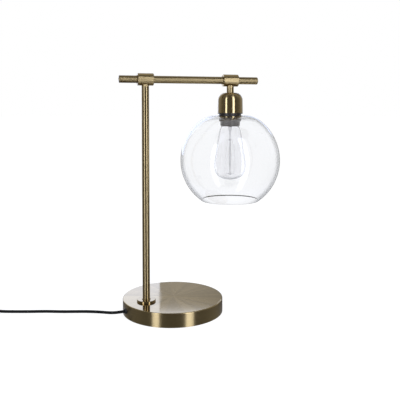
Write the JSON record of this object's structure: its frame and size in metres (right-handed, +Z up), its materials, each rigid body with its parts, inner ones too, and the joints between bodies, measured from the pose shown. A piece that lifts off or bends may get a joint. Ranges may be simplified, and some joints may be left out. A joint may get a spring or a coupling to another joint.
{
  "type": "table lamp",
  "caption": "Table lamp with a round weighted brass base, an off-centre post, a swivelling cross bar and an open clear glass globe hung round an exposed bulb",
  "frame": {"origin": "centre of the round base's underside, where the felt pad meets the table", "axes": "+Z up along the post; +X along the cross bar towards the globe when the arm is at rest; +Y completes a right-handed frame, away from the viewer"},
  "size_m": [0.7112, 0.2175, 0.474],
  "materials": {
    "brushed_brass": "antique brushed, lacquered",
    "turned_brass": "turned",
    "zinc_steel": "zinc plated",
    "iron_weight": "cast, painted",
    "black_felt": "felt",
    "black_bakelite": "moulded, satin",
    "black_plastic": "moulded, matt",
    "plated_steel": "nickel plated",
    "black_glass": "vitrite",
    "clear_glass": "clear, polished",
    "filament_wire": "drawn wire",
    "braided_cord": "braided textile",
    "lead_insulation": "extruded"
  },
  "bodies": {
    "base": {"felt_pad": "black_felt", "bottom_plate": "zinc_steel", "plate_screws": "zinc_steel", "base_weight": "iron_weight", "base_cover": "brushed_brass", "cord_grommet": "black_plastic", "cord_clamp": "black_plastic", "clamp_screws": "zinc_steel", "base_washer": "zinc_steel", "base_nut": "turned_brass", "base_nipple": "turned_brass", "post_foot": "brushed_brass", "post_foot_bush": "turned_brass", "post_tube": "brushed_brass", "post_top_bush": "turned_brass", "swivel_spring_washer": "zinc_steel", "swivel_friction_washer": "black_bakelite", "lower_leads": "lead_insulation", "cord_run": "braided_cord", "switch_lower_housing": "black_plastic", "switch_upper_housing": "black_plastic", "switch_screws": "zinc_steel", "switch_terminals": "turned_brass", "cord_tail": "braided_cord", "cord_coil": "braided_cord", "cord_tie": "braided_cord", "plug_body": "black_plastic", "plug_pins": "plated_steel"},
    "arm": {"swivel_pin": "zinc_steel", "post_sleeve": "brushed_brass", "crossbar": "brushed_brass", "rear_end_cap": "brushed_brass", "front_end_cap": "brushed_brass", "head_sleeve": "brushed_brass", "head_nipple": "turned_brass", "head_stem": "brushed_brass", "lampholder_cup": "brushed_brass", "cup_nut": "zinc_steel", "lampholder_body": "black_bakelite", "lampholder_shell": "turned_brass", "lampholder_terminals": "turned_brass", "lampholder_contact": "turned_brass", "shade_ring": "black_bakelite", "glass_shade": "clear_glass", "upper_leads": "lead_insulation"},
    "bulb_slide": {"bulb_tip_contact": "plated_steel"},
    "bulb": {"bulb_insulator": "black_glass", "bulb_cap": "plated_steel", "bulb_glass": "clear_glass", "bulb_mount": "clear_glass", "bulb_filament": "filament_wire"},
    "rocker": {"switch_rocker": "black_plastic", "switch_blade": "turned_brass"}
  },
  "joints": [
    {"name": "arm_swivel", "type": "hinge", "parent": "base", "child": "arm", "pos_m": [-0.05628, -0.01403, 0.447], "axis": [0, 0, 1], "range_deg": [-160, 160]},
    {"name": "bulb_rise", "type": "slide", "parent": "arm", "child": "bulb_slide", "axis": [0, 0, -1], "range_m": [0, 0.0145]},
    {"name": "bulb_turn", "type": "hinge", "parent": "bulb_slide", "child": "bulb", "pos_m": [0.11572, -0.01403, 0.397], "axis": [0, 0, -1], "range_deg": [0, 1440]},
    {"name": "switch_rocker_tilt", "type": "hinge", "parent": "base", "child": "rocker", "pos_m": [-0.37848, 0.08321, 0.0116], "axis": [0.2588, 0.9659, 0], "range_deg": [0, 20]}
  ],
  "couplings": [
    {"joint": "bulb_rise", "follows": "bulb_turn", "m_per_rad": 0.00057296}
  ]
}
